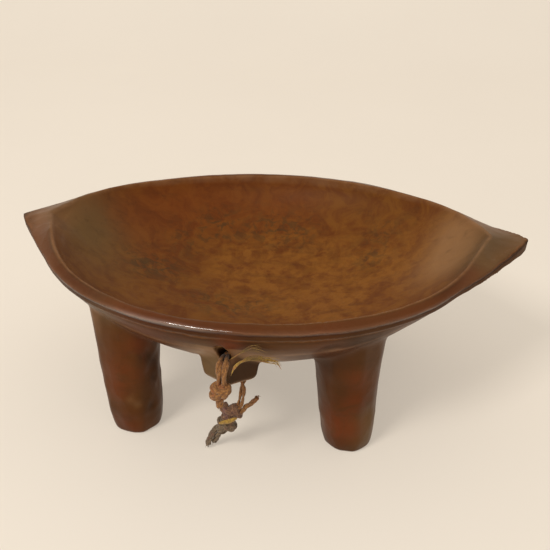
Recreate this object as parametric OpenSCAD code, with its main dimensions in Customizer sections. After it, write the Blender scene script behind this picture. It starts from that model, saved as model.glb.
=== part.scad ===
// Carved wooden kava bowl: a round-bellied basin with two pointed ears, four stout legs, a pierced
// lug under the front rim, and a short plaited cord that passes through the lug and is knotted on
// both sides of it. Millimetres, +Z up, +X along the ears, the lug at -Y, origin on the floor
// under the middle of the rim.

/* [Rim] */
// Length from one ear's point to the other's
length = 500; // [480:5:520]
// Width over the rim
width = 356; // [340:2:370]
// Half length of the ellipse that the rim follows on the right, up to the ear
rim_right_x = 212; // [208:1:225]
// Half length of the ellipse that the rim follows on the left, up to the ear
rim_left_x = 223; // [210:1:230]
// Height of the rim's outer edge at the front and back
rim_edge_z = 158; // [155:1:160]
// Height of the right ear's point
right_ear_z = 176; // [168:1:178]
// Height of the left ear's point
left_ear_z = 172; // [168:1:175]
// How late the rim's outer edge climbs towards the right ear
right_climb = 5; // [2.5:0.1:6]
// How late the rim's outer edge climbs towards the left ear
left_climb = 3.2; // [2.5:0.1:6]
// Height of the upright band below the rim's outer edge, at the front and back
band_height = 7.5; // [6:0.5:12]
// How much higher the band is at the ears' points
ear_band = 6; // [0:1:10]
// How far the band's lower edge is set in from the outer edge
band_inset = 3; // [1:0.5:5]

/* [Basin] */
// Half length of the ellipse that the basin's mouth follows between its points
basin_ellipse_x = 207; // [200:1:210]
// Half length of the basin's mouth, from its middle to its points
basin_point_x = 218; // [212:1:220]
// Half width of the basin's mouth
basin_y = 165; // [158:1:168]
// How far the basin's middle is shifted towards the left ear
basin_shift = 3; // [0:1:6]
// Height of the basin's edge at the front and back
crest_z = 162; // [160:1:165]
// Height of the basin's edge at its two ends
crest_end_z = 176; // [172:1:180]
// How fast the basin's edge climbs towards its ends
crest_climb = 4.4; // [3:0.2:6]
// Height of the basin's floor inside
basin_floor_z = 90; // [86:1:94]

/* [Underside] */
// Height of the lowest point of the belly
belly_z = 76; // [72:1:78]

/* [Legs] */
// Half distance between the left and right legs
leg_x = 101; // [90:1:110]
// Half distance between the front and back legs
leg_y = 99; // [90:1:104]
// How far the legs and the lug are shifted towards the left ear
leg_shift = 10; // [0:1:12]
// Radius of a foot
foot_r = 22; // [20:0.5:25]
// Radius of a leg just above its foot
shin_r = 26.5; // [24:0.5:30]
// Radius of a leg under the belly
thigh_r = 35; // [32:0.5:36]

/* [Lug and cord] */
// Height of the lug's flat bottom
lug_z = 93; // [90:1:96]
// Radius of the hole through the lug
hole_r = 5.5; // [5.3:0.1:6]
// Diameter of a strand of the cord in the hole and in front of the lug
strand_d = 5; // [4:0.1:5.2]
// Diameter of the two worn strands behind the lug
worn_strand_d = 3.2; // [2.5:0.1:3.6]
// Diameter of the loose tails below the knots
tail_d = 5.6; // [4:0.1:6]

/* [Hidden] */

half_x = length / 2;
half_y = width / 2;

// Powers of the two sections: along their radius, then down in the middle, then down under the ears
basin_powers = [2.2, 1.9, 1.1];
belly_powers = [2.5, 1.6, 0.6];
// How sharply the sections and the band change as they come near the ears
ear_turn = 2.7;
ear_band_climb = 8;

// Points round the rim, and rows down the basin and up the belly, in shares of the full radius
around = 72;
basin_rows = [0.22, 0.42, 0.58, 0.71, 0.81, 0.89, 0.95, 0.985, 1];
belly_rows = [1, 0.985, 0.95, 0.89, 0.81, 0.71, 0.58, 0.42, 0.22];

// Heights on a leg at which its outline turns
shin_z = 28;
knee_z = 68;
knee_r = (shin_r + thigh_r) / 2;
leg_top_z = 145;

// The lug's outline seen from above, at its root and at its foot: front ridge, right, back, left
lug_root_z = 147;
lug_root = [[-9, -171], [20, -150], [18, -118], [-36, -118], [-40, -152]];
lug_foot = [[-9, -160], [10, -147], [8, -120], [-28, -120], [-32, -150]];
lug_bevel = 4;

// The hole goes in at the lug's left front face, bends under the basin, and comes out at the back of
// the lug's bottom
hole_front = [-13, -167, 131];
hole_bend = [-7, -151, 120];
hole_back = [0, -131, 95];
hole_overrun = 14;
// Radius of the hollow where the hole bends, wide enough to hold the meeting of its two bores
bend_r = hole_r * 1.13;
strand_gap = 0.3;

tube_sides = 10;
thin_sides = 8;

// Routes of the cord's stretches, from the hole outwards
front_left_route = [[-15, -169, 124], [-17, -171, 119], [-17, -173, 113], [-17, -173, 107], [-17, -173, 101]];
front_right_route = [[-10, -170, 124], [-10, -172, 119], [-10, -174, 113], [-11, -174, 107], [-11, -173, 101]];
front_knot_centre = [-14, -173, 96];
front_tag_route = [[-15, -173, 90], [-16, -173, 85], [-16, -173, 80]];
low_fibre_route = [[-5, -176, 115], [-1, -177, 125], [5, -177, 131], [14, -176, 134], [25, -174, 132],
    [33, -172, 129], [37, -170, 121]];
high_fibre_route = [[-6, -177, 131], [4, -177, 139], [13, -177, 144], [20, -176, 143], [26, -175, 140]];
back_left_route = [[-5, -130, 88], [-5, -131, 80], [-2, -132, 71], [-3, -131, 62], [-6, -130, 49]];
back_right_route = [[1, -130, 88], [-1, -128, 80], [-5, -128, 71], [-6, -128, 62], [-9, -128, 49]];
upper_back_knot_centre = [-13, -129, 44];
side_tail_route = [[-6, -129, 43], [-1, -129, 49], [5, -130, 55], [10, -131, 62]];
lower_back_knot_centre = [-18, -130, 29];
end_long_route = [[-25, -130, 26], [-31, -131, 21], [-35, -132, 13], [-38, -133, 4]];
end_short_route = [[-21, -129, 21], [-27, -130, 17], [-30, -129, 10], [-33, -129, 5]];
side_tail_d = 4;
fibre_d = 1;

// Size of each knot, along X, Y and Z
front_knot_size = [20, 15, 16];
upper_back_knot_size = [20, 14, 16];
lower_back_knot_size = [20, 14, 18];

// A pointed outline in plan: an ellipse, with straight tangents out to a point at each end
function pointed_quarter(a, ellipse_x, side_y, point_x) =
    let (tangent = acos(ellipse_x / point_x), share = a / tangent)
    share < 1
        ? [point_x + (ellipse_x * cos(tangent) - point_x) * share, side_y * sin(tangent) * share]
        : [ellipse_x * cos(a), side_y * sin(a)];
function pointed(a, ellipse_x, side_y, point_x) =
    let (p = pointed_quarter(asin(abs(sin(a))), ellipse_x, side_y, point_x))
    [p.x * (cos(a) < 0 ? -1 : 1), p.y * (sin(a) < 0 ? -1 : 1)];
function rim_plan(a) = pointed(a, cos(a) < 0 ? rim_left_x : rim_right_x, half_y, half_x);
function basin_plan(a) = pointed(a, basin_ellipse_x, basin_y, basin_point_x);

function rim_z(x) = x < 0
    ? rim_edge_z + (left_ear_z - rim_edge_z) * pow(-x / half_x, left_climb)
    : rim_edge_z + (right_ear_z - rim_edge_z) * pow(x / half_x, right_climb);
function basin_edge_z(x) = crest_z
    + (crest_end_z - crest_z) * pow(min(1, abs(x) / basin_ellipse_x), crest_climb);
function band(x) = band_height + ear_band * pow(abs(x) / half_x, ear_band_climb);

// Share of the way up a section at a share of its radius, which changes from its middle to the ears
function down_power(p, powers) = let (w = pow(abs(p.x) / norm([p.x, p.y]), ear_turn))
    powers[1] * (1 - w) + powers[2] * w;
function rise(share, p, powers) = 1 - pow(1 - pow(share, powers[0]), 1 / down_power(p, powers));

function angle(i) = 360 * i / around;
function basin_ring(share) = [for (i = [0 : around - 1]) let (p = basin_plan(angle(i)))
    [p.x * share - basin_shift, p.y * share,
        basin_floor_z + (basin_edge_z(p.x) - basin_floor_z) * rise(share, p, basin_powers)]];
rim_ring = [for (i = [0 : around - 1]) let (p = rim_plan(angle(i))) [p.x, p.y, rim_z(p.x)]];
inset = 1 - band_inset / half_y;
band_ring = [for (p = rim_ring) [p.x * inset, p.y * inset, p.z - band(p.x)]];
function belly_ring(share) = [for (p = band_ring)
    [p.x * share, p.y * share, belly_z + (p.z - belly_z) * rise(share, p, belly_powers)]];

// A closed skin over rings of equal length, from a first point to a last point
function skin_faces(rings, n, first, last) = concat(
    [for (i = [0 : n - 1]) [first, (i + 1) % n, i]],
    [for (r = [0 : rings - 2], i = [0 : n - 1]) let (j = (i + 1) % n)
        [r * n + i, r * n + j, (r + 1) * n + j]],
    [for (r = [0 : rings - 2], i = [0 : n - 1]) let (j = (i + 1) % n)
        [r * n + i, (r + 1) * n + j, (r + 1) * n + i]],
    [for (i = [0 : n - 1]) [last, (rings - 1) * n + i, (rings - 1) * n + (i + 1) % n]]);

module skin(rings, first, last) {
    n = len(rings[0]);
    points = concat([for (ring = rings) each ring], [first, last]);
    polyhedron(points = points, faces = skin_faces(len(rings), n, n * len(rings), n * len(rings) + 1),
        convexity = 6);
}

// The hollow shell: from the basin's floor up over the rim and down to the belly
module shell() {
    rings = concat(
        [for (share = basin_rows) basin_ring(share)],
        [rim_ring],
        [for (share = belly_rows) belly_ring(share)]);
    skin(rings, [-basin_shift, 0, basin_floor_z], [0, 0, belly_z]);
}

// The same outside with no basin in it, for cutting what meets the belly
module belly_block() {
    rings = concat([rim_ring], [for (share = belly_rows) belly_ring(share)]);
    skin(rings, [0, 0, crest_end_z], [0, 0, belly_z]);
}

// A round bar between two points, carried on past the second one
module bar(from, to, r, overrun) {
    along = to - from;
    level = norm([along.x, along.y]);
    translate(from)
        rotate([0, atan2(level, along.z), atan2(along.y, along.x)])
            cylinder(r = r, h = norm(along) + overrun, $fn = 64);
}

module lug_hole() {
    bar(hole_bend, hole_front, hole_r, hole_overrun);
    bar(hole_bend, hole_back, hole_r, hole_overrun);
    translate(hole_bend) sphere(r = bend_r, $fn = 48);
}

module bowl() {
    color([0.45, 0.24, 0.12]) difference() {
        shell();
        lug_hole();
    }
}

module leg(side_x, side_y) {
    color([0.34, 0.19, 0.11]) difference() {
        translate([side_x * leg_x - leg_shift, side_y * leg_y, 0])
            rotate_extrude($fn = 64)
                polygon([[0, 0], [foot_r, 0], [shin_r, shin_z], [knee_r, knee_z], [thigh_r, leg_top_z],
                    [0, leg_top_z]]);
        belly_block();
    }
}

// A thin slab of an outline, for hulls
module slab(outline, z) {
    slab_height = 0.02;
    translate([0, 0, z]) linear_extrude(slab_height) polygon(outline);
}

module lug() {
    color([0.4, 0.22, 0.12]) difference() {
        hull() {
            slab(lug_root, lug_root_z);
            slab(lug_foot, lug_z + lug_bevel);
            translate([0, 0, lug_z]) linear_extrude(lug_bevel) offset(delta = -lug_bevel) polygon(lug_foot);
        }
        belly_block();
        lug_hole();
    }
}

// Direction of a route at one of its points
function heading(route, i) = let (d = route[min(i + 1, len(route) - 1)] - route[max(i - 1, 0)]) d / norm(d);

// Ring of a tube's skin round one point of its route
function tube_ring(centre, direction, r, sides) =
    let (across = cross(direction, abs(direction.y) < 0.9 ? [0, 1, 0] : [1, 0, 0]),
        u = across / norm(across), v = cross(direction, u))
    [for (k = [0 : sides - 1]) centre + r * (cos(360 * k / sides) * u + sin(360 * k / sides) * v)];

module tube(route, d, sides) {
    rings = [for (i = [0 : len(route) - 1]) tube_ring(route[i], heading(route, i), d / 2, sides)];
    skin(rings, route[0], route[len(route) - 1]);
}

// A lumpy closed solid of a knot's outer shape, with the ridges of its turns running round it
module knot(centre, size, lean) {
    bands = 9;
    sides = 20;
    ridges = 3;
    ridge_depth = 0.07;
    function lump(a, b) = 1 - ridge_depth + ridge_depth * cos(ridges * a + 2 * b);
    rings = [for (i = [1 : bands]) let (b = 90 - 180 * i / (bands + 1))
        [for (k = [0 : sides - 1]) let (a = 360 * k / sides)
            lump(a, b) * [cos(b) * cos(a) * size.x, -cos(b) * sin(a) * size.y, sin(b) * size.z] / 2]];
    translate(centre) rotate([0, lean, 0]) skin(rings, [0, 0, size.z / 2], [0, 0, -size.z / 2]);
}

cord_colour = [0.62, 0.4, 0.2];
worn_colour = [0.45, 0.37, 0.28];
fibre_colour = [0.75, 0.55, 0.2];

module hole_strands() {
    apart = (strand_d + strand_gap) / 2;
    route = [hole_front, hole_bend, hole_back];
    color(cord_colour) for (side = [-1, 1])
        tube([for (p = route) [p.x + side * apart, p.y, p.z]], strand_d, tube_sides);
}

module front_strand_left() {
    color(cord_colour) tube(front_left_route, strand_d, tube_sides);
}

module front_strand_right() {
    color(cord_colour) tube(front_right_route, strand_d, tube_sides);
}

module front_knot() {
    color(cord_colour) knot(front_knot_centre, front_knot_size, 8);
}

module front_tag() {
    color(cord_colour) tube(front_tag_route, tail_d, tube_sides);
}

module loose_fibre_low() {
    color(fibre_colour) tube(low_fibre_route, fibre_d, thin_sides);
}

module loose_fibre_high() {
    color(fibre_colour) tube(high_fibre_route, fibre_d, thin_sides);
}

module back_strand_left() {
    color(cord_colour) tube(back_left_route, worn_strand_d, thin_sides);
}

module back_strand_right() {
    color(cord_colour) tube(back_right_route, worn_strand_d, thin_sides);
}

module upper_back_knot() {
    color(worn_colour) knot(upper_back_knot_centre, upper_back_knot_size, -25);
}

module side_tail() {
    color(cord_colour) tube(side_tail_route, side_tail_d, thin_sides);
}

module lower_back_knot() {
    color(worn_colour) knot(lower_back_knot_centre, lower_back_knot_size, 30);
}

module end_tail_long() {
    color(worn_colour) tube(end_long_route, tail_d, tube_sides);
}

module end_tail_short() {
    color(worn_colour) tube(end_short_route, tail_d, tube_sides);
}

bowl();
leg(-1, -1);  // leg_front_left
leg(1, -1);  // leg_front_right
leg(-1, 1);  // leg_back_left
leg(1, 1);  // leg_back_right
lug();
hole_strands();
front_strand_left();
front_strand_right();
front_knot();
front_tag();
loose_fibre_low();
loose_fibre_high();
back_strand_left();
back_strand_right();
upper_back_knot();
side_tail();
lower_back_knot();
end_tail_long();
end_tail_short();
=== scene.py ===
import math

import bpy
import numpy as np
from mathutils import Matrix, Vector


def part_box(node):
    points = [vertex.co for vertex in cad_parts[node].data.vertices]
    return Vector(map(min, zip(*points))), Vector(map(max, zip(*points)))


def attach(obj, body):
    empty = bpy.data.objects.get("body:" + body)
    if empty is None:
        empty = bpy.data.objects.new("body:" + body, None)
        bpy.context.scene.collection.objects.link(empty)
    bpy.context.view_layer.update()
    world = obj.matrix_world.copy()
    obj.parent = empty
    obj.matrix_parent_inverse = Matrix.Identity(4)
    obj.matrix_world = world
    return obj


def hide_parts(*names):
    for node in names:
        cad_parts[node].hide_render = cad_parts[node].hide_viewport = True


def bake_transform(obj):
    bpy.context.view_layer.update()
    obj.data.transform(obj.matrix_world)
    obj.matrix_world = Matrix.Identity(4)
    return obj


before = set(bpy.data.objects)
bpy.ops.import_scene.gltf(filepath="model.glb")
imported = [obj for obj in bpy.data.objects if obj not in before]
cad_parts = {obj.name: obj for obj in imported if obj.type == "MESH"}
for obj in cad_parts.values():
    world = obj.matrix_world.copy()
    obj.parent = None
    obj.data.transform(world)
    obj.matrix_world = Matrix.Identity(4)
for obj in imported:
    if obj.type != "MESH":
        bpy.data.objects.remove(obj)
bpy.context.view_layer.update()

# Shapes are worked out in millimetres, and go into meshes in metres.
MM = 0.001


# ---------------------------------------------------------------- camera

CAMERA_AZIMUTH = math.radians(7.85)
CAMERA_ELEVATION = math.radians(28)
CAMERA_DISTANCE = 0.8587
CAMERA_TARGET = Vector((0.008, 0, 0.1185))
CAMERA_LENS = 55.6
CAMERA_SENSOR = 36


def make_camera():
    data = bpy.data.cameras.new("camera")
    data.lens = CAMERA_LENS
    data.sensor_width = CAMERA_SENSOR
    camera = bpy.data.objects.new("camera", data)
    bpy.context.scene.collection.objects.link(camera)
    level = math.cos(CAMERA_ELEVATION)
    back = Vector((math.sin(CAMERA_AZIMUTH) * level, -math.cos(CAMERA_AZIMUTH) * level,
                   math.sin(CAMERA_ELEVATION)))
    camera.location = CAMERA_TARGET + back * CAMERA_DISTANCE
    camera.rotation_mode = "QUATERNION"
    camera.rotation_quaternion = (-back).to_track_quat("-Z", "Y")
    bpy.context.scene.camera = camera


make_camera()


# ---------------------------------------------------------------- materials

def srgb(red, green, blue):
    """A colour given as 0 to 255 screen values, as the renderer's linear ones."""
    def linear(value):
        value /= 255
        return value / 12.92 if value <= 0.04045 else ((value + 0.055) / 1.055) ** 2.4
    return linear(red), linear(green), linear(blue)


class Material:
    """A node material with one main shader, and short names for the nodes it is built from."""

    def __init__(self, name):
        self.material = bpy.data.materials.new(name)
        self.material.use_nodes = True
        self.tree = self.material.node_tree
        self.tree.nodes.clear()
        self.shader = self.new("ShaderNodeBsdfPrincipled")
        output = self.new("ShaderNodeOutputMaterial")
        self.tree.links.new(self.shader.outputs["BSDF"], output.inputs["Surface"])
        self.place = self.new("ShaderNodeTexCoord").outputs["Object"]

    def new(self, kind, inputs=None, **settings):
        node = self.tree.nodes.new(kind)
        for key, value in settings.items():
            setattr(node, key, value)
        for key, value in (inputs or {}).items():
            self.put(node.inputs[key], value)
        return node

    def put(self, socket, value):
        if isinstance(value, bpy.types.NodeSocket):
            self.tree.links.new(value, socket)
        elif isinstance(value, tuple) and len(value) == 3 and socket.type == "RGBA":
            socket.default_value = (*value, 1)
        else:
            socket.default_value = value

    def set(self, **values):
        """Values of the main shader's inputs, with _ for each space in a name."""
        for key, value in values.items():
            self.put(self.shader.inputs[key.replace("_", " ")], value)

    def stretched(self, scale):
        return self.new("ShaderNodeMapping", {"Vector": self.place, "Scale": scale}).outputs["Vector"]

    def noise(self, scale, detail, rough, vector=None, distortion=0.0):
        inputs = {"Scale": scale, "Detail": detail, "Roughness": rough, "Distortion": distortion,
                  "Vector": vector or self.place}
        return self.new("ShaderNodeTexNoise", inputs).outputs["Fac"]

    def attribute(self, name):
        return self.new("ShaderNodeAttribute", attribute_name=name).outputs["Fac"]

    def ramp(self, value, low, high, bottom=0.0, top=1.0):
        """bottom where the value is below low, top where it is above high."""
        inputs = {"Value": value, "From Min": low, "From Max": high, "To Min": bottom, "To Max": top}
        return self.new("ShaderNodeMapRange", inputs, interpolation_type="SMOOTHSTEP").outputs["Result"]

    def line(self, value, centre, width):
        """1 where the value is at the centre, fading to 0 at width to either side of it."""
        away = self.maths("ABSOLUTE", self.maths("SUBTRACT", value, centre))
        return self.ramp(away, 0, width, 1, 0)

    def maths(self, operation, *values):
        node = self.new("ShaderNodeMath", operation=operation)
        for socket, value in zip(node.inputs, values):
            self.put(socket, value)
        return node.outputs[0]

    def times(self, first, second):
        return self.maths("MULTIPLY", first, second)

    def mix(self, factor, first, second):
        node = self.new("ShaderNodeMix", {"Factor": factor}, data_type="RGBA")
        colours = [socket for socket in node.inputs if socket.type == "RGBA"]
        for socket, value in zip(colours, (first, second)):
            self.put(socket, value)
        return [socket for socket in node.outputs if socket.type == "RGBA"][0]

    def over(self, colour, share, amount, top):
        """The colour, with another laid over it where share says, at most by amount."""
        return self.mix(self.times(share, amount), colour, top)

    def bump(self, layers):
        """A normal from several (height, strength, distance) layers."""
        normal = None
        for height, strength, distance in layers:
            inputs = {"Height": height, "Strength": strength, "Distance": distance}
            if normal is not None:
                inputs["Normal"] = normal
            normal = self.new("ShaderNodeBump", inputs).outputs["Normal"]
        return normal


# Colours of the wood.
WOOD_DARK, WOOD_LIGHT = srgb(60, 32, 6), srgb(78, 44, 13)
BASIN_DARK, BASIN_LIGHT = srgb(94, 47, 10), srgb(112, 66, 18)
OLIVE_AND_LIT_SIDE_TONE, RED_WOOD = srgb(98, 73, 40), srgb(112, 42, 8)
AMBER_WOOD, SHEEN_AND_SCAR_TONE = srgb(138, 86, 28), srgb(144, 106, 68)
FLECK, GRAIN, OLD_STAIN = srgb(58, 28, 10), srgb(56, 30, 12), srgb(52, 44, 24)
RIM_STRIP, RIDGE_SHADE, DARK_MARKS_AND_SHADE = srgb(100, 48, 20), srgb(54, 26, 8), srgb(36, 22, 12)
EDGE_WEAR, CREST_HIGHLIGHT = srgb(128, 82, 48), srgb(146, 108, 76)

# Lines along the rim: the middle of each, in millimetres down from the outer ridge, and how far it fades. The
# crest's line, a painted highlight, is measured outwards from the basin's edge instead.
CREST_HIGHLIGHT_LINE, POLISH_LINE, GROOVE_LINE, SHADE_LINE = (0.4, 3.0), (1.2, 3.0), (3.0, 1.5), (5.0, 3.5)
# A painted highlight on the ridge, the dark groove under it, a painted highlight along the band's lower edge
# and a painted shadow under that edge, each with its strength and colour.
RIM_HIGHLIGHTS_GROOVE_AND_SHADOW = [((0.4, 1.0), 0.35, srgb(140, 84, 50)), (GROOVE_LINE, 0.9, srgb(44, 10, 4)),
              ((8.4, 1.3), 0.4, srgb(124, 84, 48)), ((11.0, 2.0), 0.4, srgb(44, 26, 10))]


def wood_material():
    """Dark reddish wood with a worn polish, warmer and more mottled in the basin, with painted sheen,
    highlights and shade in its colour. The attributes crest and ridge are distances in millimetres, outwards
    from the basin's edge and down from the rim's outer edge."""
    m = Material("carved_wood")
    dark_marks_and_shade, warm = m.attribute("dark_marks_and_shade"), m.attribute("warm")
    outside = m.maths("SUBTRACT", 1.0, warm)
    patches = m.noise(14, 3, 0.5, distortion=0.6)
    mottle = m.noise(38, 6, 0.62, distortion=1.2)
    flecks = m.noise(58, 8, 0.68, distortion=0.25)
    grain = m.noise(70, 5, 0.6, m.stretched((0.1, 1, 1)), distortion=0.4)
    colour = m.mix(m.ramp(patches, 0.35, 0.65), WOOD_DARK, WOOD_LIGHT)
    basin = m.mix(m.ramp(mottle, 0.35, 0.65), BASIN_DARK, BASIN_LIGHT)
    colour = m.over(colour, warm, 1.0, basin)
    # Olive wood, and the lug's faces that turn to the left painted lighter as its lit side.
    colour = m.over(colour, m.attribute("olive_and_lit_side"), 0.85, OLIVE_AND_LIT_SIDE_TONE)
    red = m.times(m.attribute("red"), m.ramp(mottle, 0.25, 0.6, 0.3))
    colour = m.over(colour, red, 0.5, RED_WOOD)
    amber = m.times(m.attribute("amber"), m.ramp(flecks, 0.38, 0.66))
    colour = m.over(colour, amber, 0.75, AMBER_WOOD)
    # Painted sheen at the basin's right end and on the left ear, pale scars on the front-left leg, and a
    # painted highlight on the lug's bevel that faces down.
    colour = m.over(colour, m.attribute("painted_sheen_and_scars"), 0.7, SHEEN_AND_SCAR_TONE)
    colour = m.over(colour, m.ramp(flecks, 0.55, 0.72), 0.3, FLECK)
    colour = m.over(colour, m.ramp(grain, 0.52, 0.7), 0.22, GRAIN)
    stain = m.times(m.attribute("stain"), m.ramp(m.noise(90, 5, 0.65, distortion=0.8), 0.45, 0.6))
    colour = m.over(colour, stain, 0.65, OLD_STAIN)

    crest = m.attribute("crest")
    uneven = m.noise(55, 3, 0.6)
    ridge = m.maths("MULTIPLY_ADD", m.maths("SUBTRACT", uneven, 0.5), 5.0, m.attribute("ridge"))
    # Noise that breaks up the painted lines and the groove along the rim.
    patchy = m.times(outside, m.ramp(m.noise(40, 3, 0.6), 0.3, 0.6, 0.25))
    strip = m.times(m.ramp(crest, 2, 5), m.ramp(ridge, -0.5, 0.5, 1, 0))
    strip = m.times(strip, m.maths("SUBTRACT", 1.0, m.attribute("olive_and_lit_side")))
    colour = m.over(colour, strip, 0.4, RIM_STRIP)
    colour = m.over(colour, m.times(outside, m.line(ridge, *SHADE_LINE)), 0.45, RIDGE_SHADE)
    # Darker in crevices and in the listed dark patches, with painted shade at the top of the front-right leg
    # and on the lug's faces that turn to the right.
    colour = m.over(colour, dark_marks_and_shade, 0.75, DARK_MARKS_AND_SHADE)
    colour = m.over(colour, m.attribute("edge"), 0.25, EDGE_WEAR)
    # A painted highlight along the basin's crest, broken up by noise.
    crest_highlight = m.times(m.line(crest, *CREST_HIGHLIGHT_LINE), m.ramp(uneven, 0.3, 0.65, 0.35))
    colour = m.over(colour, crest_highlight, 0.45, CREST_HIGHLIGHT)
    # Along the rim: painted highlights on the ridge and on the band's lower edge, the dark groove, and a
    # painted shadow under the band's lower edge.
    for line, amount, tone in RIM_HIGHLIGHTS_GROOVE_AND_SHADOW:
        colour = m.over(colour, m.times(patchy, m.line(ridge, *line)), amount, tone)

    rough = m.maths("MULTIPLY_ADD", m.noise(35, 4, 0.6), 0.22, 0.26)
    rough = m.maths("MULTIPLY_ADD", warm, 0.18, rough)
    fine = m.noise(450, 3, 0.6, m.stretched((0.15, 1, 1)))
    unworn = m.maths("SUBTRACT", 1.0, m.times(patchy, m.line(ridge, *GROOVE_LINE)))
    m.set(Base_Color=colour, Roughness=m.maths("MULTIPLY_ADD", dark_marks_and_shade, 0.25, rough),
          Specular_IOR_Level=0.2, Specular_Tint=(1.0, 0.8, 0.56),
          Coat_Weight=m.times(m.attribute("polish"), m.line(m.attribute("ridge"), *POLISH_LINE)),
          Coat_Roughness=0.1, Coat_IOR=2.3,
          Normal=m.bump([(m.noise(48, 5, 0.55), 0.4, 0.0012), (grain, 0.2, 0.0006), (fine, 0.12, 0.0003),
                         (unworn, 0.5, 0.0008)]))
    return m.material


def fibre_material(name, dark, light, accent, rough):
    """Plant fibre: fine streaks from dark to light, with patches of an accent colour."""
    m = Material(name)
    streaks = m.noise(1100, 4, 0.7, m.stretched((1, 1, 0.3)))
    colour = m.mix(m.ramp(streaks, 0.3, 0.7), dark, light)
    colour = m.over(colour, m.ramp(m.noise(160, 3, 0.6), 0.52, 0.68), 0.7, accent)
    # Painted shade in the dips between the fibre bundles and where the strands go into the hole, and a darker
    # middle in the loose fibres.
    colour = m.over(colour, m.attribute("crease_shade"), 0.6, tuple(0.35 * value for value in dark))
    m.set(Base_Color=colour, Roughness=m.maths("MULTIPLY_ADD", streaks, 0.2, rough - 0.1),
          Sheen_Weight=0.2, Sheen_Roughness=0.5, Normal=m.bump([(streaks, 0.7, 0.0005)]))
    return m.material


WOOD = wood_material()
SENNIT = fibre_material("sennit", srgb(100, 58, 20), srgb(172, 118, 56), srgb(140, 76, 32), 0.75)
KNOT_SENNIT = fibre_material("knot_sennit", srgb(74, 46, 30), srgb(150, 108, 76), srgb(116, 76, 72), 0.8)
WORN_SENNIT = fibre_material("worn_sennit", srgb(66, 50, 36), srgb(142, 118, 88), srgb(116, 80, 60), 0.8)
LOOSE_FIBRE = fibre_material("loose_fibre", srgb(112, 76, 20), srgb(184, 146, 46), srgb(150, 80, 30), 0.6)


# ---------------------------------------------------------------- mesh helpers

def mesh_object(name, points, faces, material, attributes=None):
    """A smooth-shaded piece from points in millimetres, with a value for each point in each attribute."""
    mesh = bpy.data.meshes.new(name)
    mesh.from_pydata((np.asarray(points, float) * MM).tolist(), [], faces)
    mesh.update()
    mesh.polygons.foreach_set("use_smooth", np.ones(len(mesh.polygons), bool))
    mesh.materials.append(material)
    for key, values in (attributes or {}).items():
        layer = mesh.attributes.new(key, "FLOAT", "POINT")
        layer.data.foreach_set("value", np.asarray(values, np.float32))
    piece = bpy.data.objects.new(name, mesh)
    bpy.context.scene.collection.objects.link(piece)
    return piece


def spline(points, spacing):
    """Points about that far apart along a smooth curve through the given ones."""
    p = np.array(points, float)
    p = np.vstack([2 * p[0] - p[1], p, 2 * p[-1] - p[-2]])
    t = np.linspace(0, 1, 24, endpoint=False)[:, None]
    fine = [0.5 * (2 * b + (c - a) * t + (2 * a - 5 * b + 4 * c - d) * t**2 + (3 * b - a - 3 * c + d) * t**3)
            for a, b, c, d in zip(p, p[1:], p[2:], p[3:])]
    fine = np.vstack([*fine, p[-2:-1]])
    reach = distance_along(fine)
    at = np.linspace(0, reach[-1], max(4, int(round(reach[-1] / spacing)) + 1))
    return np.stack([np.interp(at, reach, fine[:, k]) for k in range(3)], 1)


def distance_along(route):
    steps = np.linalg.norm(np.diff(route, axis=0), axis=1)
    return np.concatenate([[0], np.cumsum(steps)])


def directions_across(route):
    """Two unit directions across a route at each of its points, which turn as little as they can."""
    ahead = np.gradient(route, axis=0)
    ahead /= np.linalg.norm(ahead, axis=1)[:, None]
    side, sides = np.cross(ahead[0], (0.3, 0.9, 0.2)), []
    for direction in ahead:
        side = side - direction * (side @ direction)
        side = side / np.linalg.norm(side)
        sides.append(side)
    return np.array(sides), np.cross(ahead, sides)


def closing_radii(route, radius):
    """Radii along a route that close over each end in a round tip."""
    reach = distance_along(route)
    near = np.clip(np.minimum(reach, reach[-1] - reach) / radius, 0, 1)
    return radius * np.sqrt(np.clip(1 - (1 - near) ** 2, 0.03, 1))


def tube(route, radii, sides=12, lobes=0, lobe_depth=0.1, lobe_pitch=20.0, flat=1.0):
    """Points, faces and painted crease shade of a closed tube: its lobes stand for bundles of fibre winding
    along it, and the dips between them are painted darker.
    """
    u, v = directions_across(route)
    reach = distance_along(route)
    turn = 2 * math.pi * np.arange(sides) / sides
    wave = np.cos(lobes * (turn[None, :] + 2 * math.pi * reach[:, None] / lobe_pitch)) if lobes else 0
    size = np.broadcast_to(radii, len(route))[:, None] * (1 + lobe_depth * wave + np.zeros((1, sides)))
    rings = (route[:, None] + (size * np.cos(turn))[..., None] * u[:, None]
             + flat * (size * np.sin(turn))[..., None] * v[:, None])
    points = np.vstack([rings.reshape(-1, 3), route[:1], route[-1:]])
    # Painted shade in the dips between the lobes.
    crease_shade = np.clip(-wave * np.ones_like(size), 0, 1).reshape(-1) * 0.8
    start, last = len(points) - 2, len(points) - 1
    faces = []
    for k in range(sides):
        j = (k + 1) % sides
        for i in range(0, (len(route) - 1) * sides, sides):
            faces.append((i + k, i + j, i + sides + j, i + sides + k))
        faces.append((start, j, k))
        faces.append((last, start - sides + k, start - sides + j))
    return points, faces, np.concatenate([crease_shade, [0, 0]])


def joined(parts):
    """Several (points, faces, painted crease shades) as one."""
    faces, count = [], 0
    for points, some_faces, _ in parts:
        faces += [tuple(i + count for i in face) for face in some_faces]
        count += len(points)
    return np.vstack([part[0] for part in parts]), faces, np.concatenate([part[2] for part in parts])


# The radius of one ply, as a share of its strand's diameter, for each number of plies.
PLY_RADII = {2: 0.29, 3: 0.26, 4: 0.23}


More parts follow.
